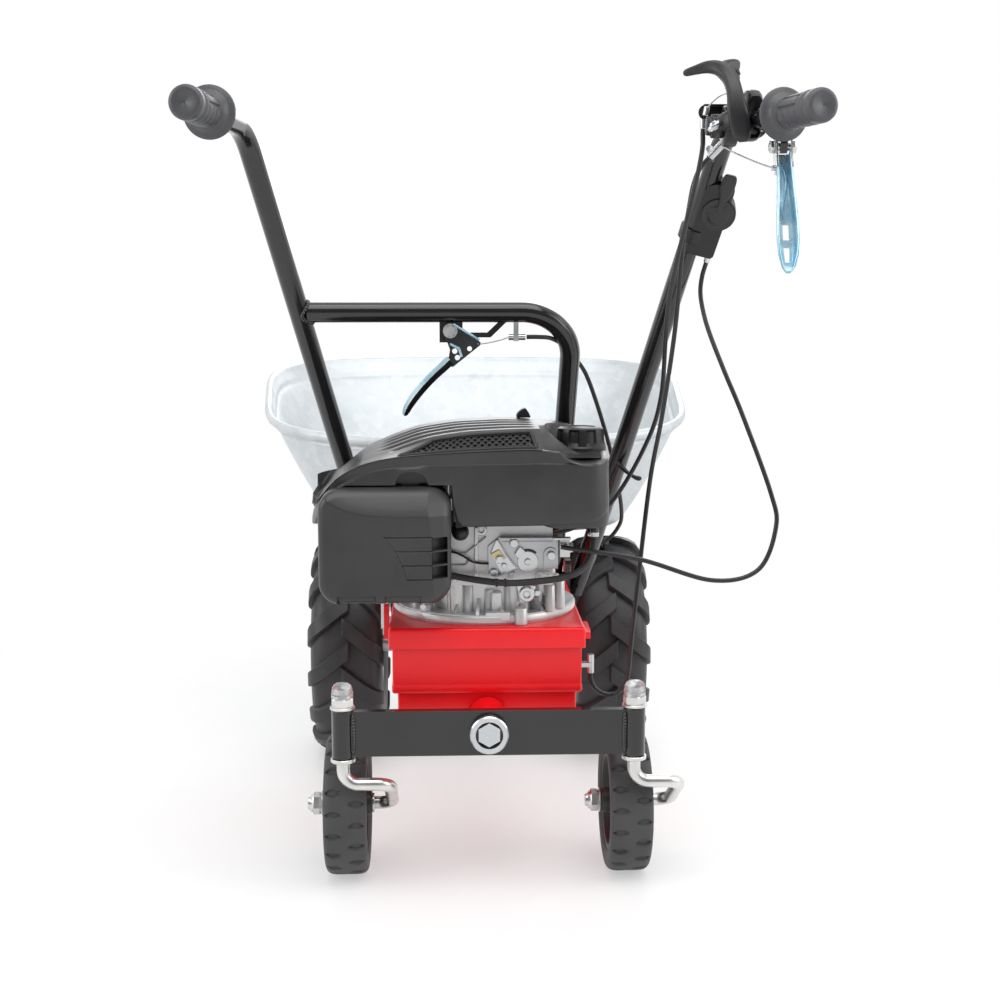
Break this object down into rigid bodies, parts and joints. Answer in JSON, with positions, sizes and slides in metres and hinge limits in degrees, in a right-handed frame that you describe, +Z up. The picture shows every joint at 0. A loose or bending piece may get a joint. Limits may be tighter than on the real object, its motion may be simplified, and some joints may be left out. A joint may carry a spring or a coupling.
{
  "type": "motorised wheelbarrow",
  "caption": "Petrol wheelbarrow for moving concrete: tipping sheet tub over lugged drive wheels, engine behind, handlebar with levers, rocking rear beam on casters.",
  "frame": {"origin": "centre of the bounding box on the floor", "axes": "+Y towards the tub and the front, +X to the operator's right, +Z up"},
  "size_m": [0.6845, 1.2376, 0.9355],
  "materials": {
    "red_paint": "gloss red enamel",
    "black_paint": "black powder coat",
    "zinc": "bright zinc plate",
    "rubber": "matt rubber",
    "tyre": "matt tyre rubber",
    "alloy": "as cast aluminium",
    "plastic": "grained black plastic",
    "screen": "black painted sheet",
    "filter": "pleated paper",
    "hot_steel": "heat tinted steel",
    "sheath": "black cable sheath",
    "rim_paint": "silver paint",
    "galvanised": "galvanised sheet"
  },
  "bodies": {
    "chassis": {"gearbox_case": "red_paint", "engine_plate": "red_paint", "gear_housing": "black_paint", "pivot_bolt": "zinc", "left_handle": "black_paint", "right_handle": "black_paint", "brace_tube": "black_paint", "handle_brackets": "black_paint", "frame_bolts": "zinc", "grips": "rubber", "reverse_bracket": "black_paint", "drive_bracket": "black_paint", "stop_clamp": "plastic", "throttle_box": "plastic", "cable_stops": "zinc", "crankcase": "alloy", "blower_housing": "plastic", "starter_screen": "screen", "fuel_tank": "plastic", "air_cleaner_base": "plastic", "air_filter": "filter", "carburettor": "alloy", "control_plate": "zinc", "fuel_hose": "rubber", "muffler": "hot_steel", "drive_cable": "sheath", "stop_cable": "sheath", "throttle_cable": "sheath", "reverse_cable": "sheath", "tub_arms": "black_paint", "tub_pins": "zinc", "tub_buffers": "rubber"},
    "wheels": {"drive_axle": "zinc", "rims": "rim_paint", "left_tyre": "tyre", "right_tyre": "tyre", "wheel_bolts": "zinc"},
    "beam": {"rocker_beam": "black_paint", "pivot_bush": "zinc"},
    "left_swivel": {"left_crank": "zinc", "left_caster_nuts": "zinc"},
    "right_swivel": {"right_crank": "zinc", "right_caster_nuts": "zinc"},
    "left_caster": {"left_caster_tyre": "rubber", "left_caster_hub": "plastic"},
    "right_caster": {"right_caster_tyre": "rubber", "right_caster_hub": "plastic"},
    "tipper": {"tub": "galvanised", "tub_rails": "black_paint"},
    "drive_hand": {"drive_lever": "zinc"},
    "reverse_hand": {"reverse_lever": "zinc"},
    "stop_hand": {"stop_lever": "plastic"},
    "throttle_hand": {"throttle_lever": "plastic"},
    "air_door": {"air_cleaner_cover": "plastic"},
    "filler": {"fuel_cap": "plastic"},
    "starter": {"starter_grip": "plastic"},
    "fan": {"flywheel": "alloy"},
    "forward_clutch": {"forward_arm": "red_paint"},
    "reverse_clutch": {"reverse_arm": "red_paint"}
  },
  "joints": [
    {"name": "axle_spin", "type": "hinge", "parent": "chassis", "child": "wheels", "pos_m": [0, 0.08032, 0.16], "axis": [1, 0, 0], "continuous": true},
    {"name": "beam_rock", "type": "hinge", "parent": "chassis", "child": "beam", "pos_m": [0, -0.49167, 0.192], "axis": [0, 1, 0], "range_deg": [-10, 10]},
    {"name": "left_caster_swivel", "type": "hinge", "parent": "beam", "child": "left_swivel", "pos_m": [-0.165, -0.49167, 0.192], "axis": [0, 0, 1], "continuous": true},
    {"name": "right_caster_swivel", "type": "hinge", "parent": "beam", "child": "right_swivel", "pos_m": [0.165, -0.49167, 0.192], "axis": [0, 0, 1], "continuous": true},
    {"name": "left_caster_roll", "type": "hinge", "parent": "left_swivel", "child": "left_caster", "pos_m": [-0.165, -0.41176, 0.0825], "axis": [1, 0, 0], "continuous": true},
    {"name": "right_caster_roll", "type": "hinge", "parent": "right_swivel", "child": "right_caster", "pos_m": [0.165, -0.41176, 0.0825], "axis": [1, 0, 0], "continuous": true},
    {"name": "tub_tip", "type": "hinge", "parent": "chassis", "child": "tipper", "pos_m": [0, 0.32033, 0.304], "axis": [-1, 0, 0], "range_deg": [0, 75]},
    {"name": "drive_lever_swing", "type": "hinge", "parent": "chassis", "child": "drive_hand", "pos_m": [0.31287, -0.51346, 0.83801], "axis": [-1, 0, 0], "range_deg": [0, 45], "stiffness_Nm_per_rad": 0.6, "springref_deg": -14.32},
    {"name": "reverse_lever_swing", "type": "hinge", "parent": "chassis", "child": "reverse_hand", "pos_m": [-0.041, -0.29956, 0.63786], "axis": [0, 1, 0], "range_deg": [0, 40], "stiffness_Nm_per_rad": 0.6, "springref_deg": -14.32},
    {"name": "stop_lever_swing", "type": "hinge", "parent": "chassis", "child": "stop_hand", "pos_m": [0.28804, -0.46541, 0.86454], "axis": [1, 0, 0], "range_deg": [0, 40], "stiffness_Nm_per_rad": 0.3, "springref_deg": -14.32},
    {"name": "throttle_lever_swing", "type": "hinge", "parent": "chassis", "child": "throttle_hand", "pos_m": [0.27131, -0.36547, 0.77949], "axis": [-0.1211, -0.8884, -0.4428], "range_deg": [-25, 25]},
    {"name": "air_cover_open", "type": "hinge", "parent": "chassis", "child": "air_door", "pos_m": [-0.116, -0.42168, 0.332], "axis": [1, 0, 0], "range_deg": [0, 60]},
    {"name": "fuel_cap_turn", "type": "hinge", "parent": "chassis", "child": "filler", "pos_m": [0.113, -0.36468, 0.497], "axis": [0, 0, 1], "range_deg": [0, 120]},
    {"name": "starter_pull", "type": "slide", "parent": "chassis", "child": "starter", "axis": [0, -0.6, 0.8], "range_m": [0, 0.45], "stiffness_N_per_m": 12, "springref_m": -0.3},
    {"name": "flywheel_spin", "type": "hinge", "parent": "chassis", "child": "fan", "pos_m": [0, -0.30467, 0.422], "axis": [0, 0, 1], "continuous": true},
    {"name": "forward_arm_turn", "type": "hinge", "parent": "chassis", "child": "forward_clutch", "pos_m": [0.115, -0.38867, 0.286], "axis": [1, 0, 0], "range_deg": [0, 20]},
    {"name": "reverse_arm_turn", "type": "hinge", "parent": "chassis", "child": "reverse_clutch", "pos_m": [-0.115, -0.38867, 0.286], "axis": [-1, 0, 0], "range_deg": [0, 16]}
  ],
  "couplings": [
    {"joint": "forward_arm_turn", "follows": "drive_lever_swing", "ratio": 0.44},
    {"joint": "reverse_arm_turn", "follows": "reverse_lever_swing", "ratio": 0.4}
  ]
}
